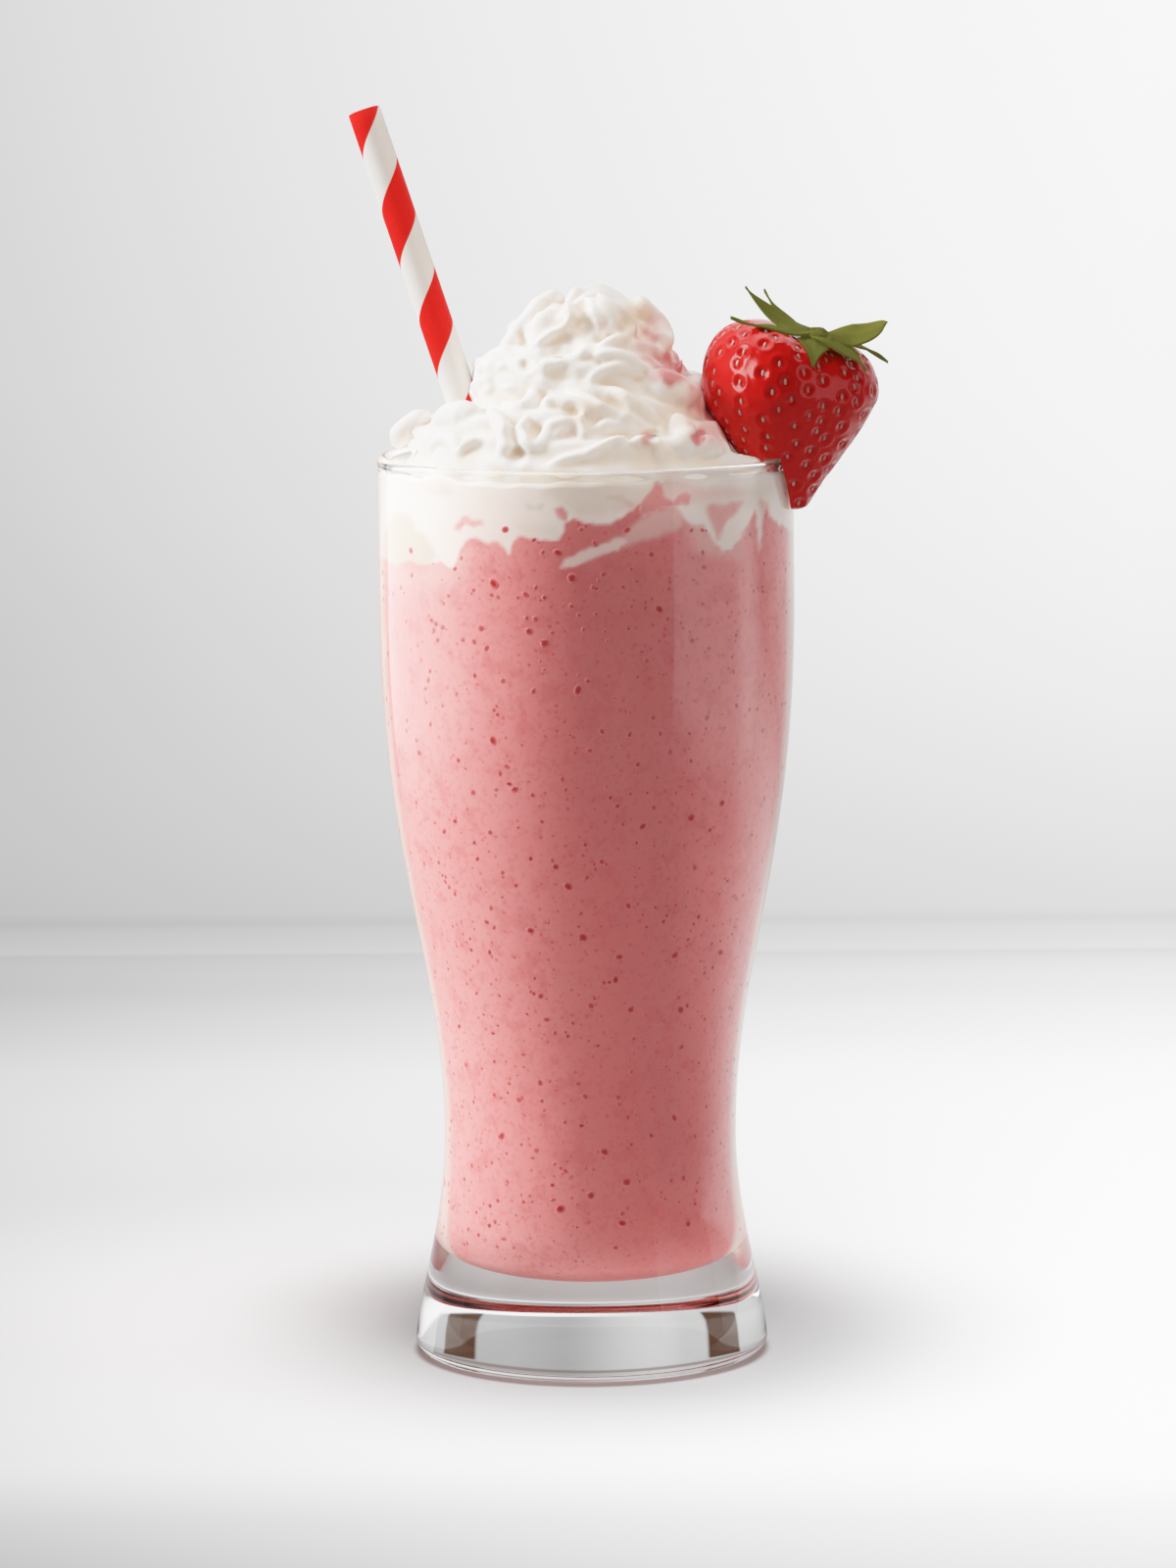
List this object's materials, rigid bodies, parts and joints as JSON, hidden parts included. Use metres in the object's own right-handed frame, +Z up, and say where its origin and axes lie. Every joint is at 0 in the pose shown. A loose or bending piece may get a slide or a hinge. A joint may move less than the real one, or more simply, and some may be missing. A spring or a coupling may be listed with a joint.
{
  "type": "strawberry milkshake",
  "caption": "Strawberry milkshake in a footed flared glass, topped with piped whipped cream, with a striped paper straw and a strawberry on the rim.",
  "frame": {"origin": "centre of the flat underside of the glass's foot, on the table", "axes": "+Z up along the glass's axis, -Y the front, +X the side with the strawberry, the straw leans to -X"},
  "size_m": [0.1091, 0.0846, 0.2553],
  "materials": {
    "glass": "clear, smooth, thick at the foot",
    "milkshake": "opaque pink shake with fine fruit pulp and small dark red specks",
    "whipped_cream": "soft white whipped cream with a satin surface, tinted pink by the fruit in places",
    "straw": "smooth white paper with a wide red spiral stripe",
    "strawberry": "wet glossy red skin with pale seeds in dimples",
    "leaves": "olive green strawberry leaves"
  },
  "bodies": {
    "root": {"glass": "glass", "milkshake": "milkshake", "whipped_cream": "whipped_cream", "straw": "straw", "strawberry": "strawberry", "strawberry_leaves": "leaves"}
  },
  "joints": []
}
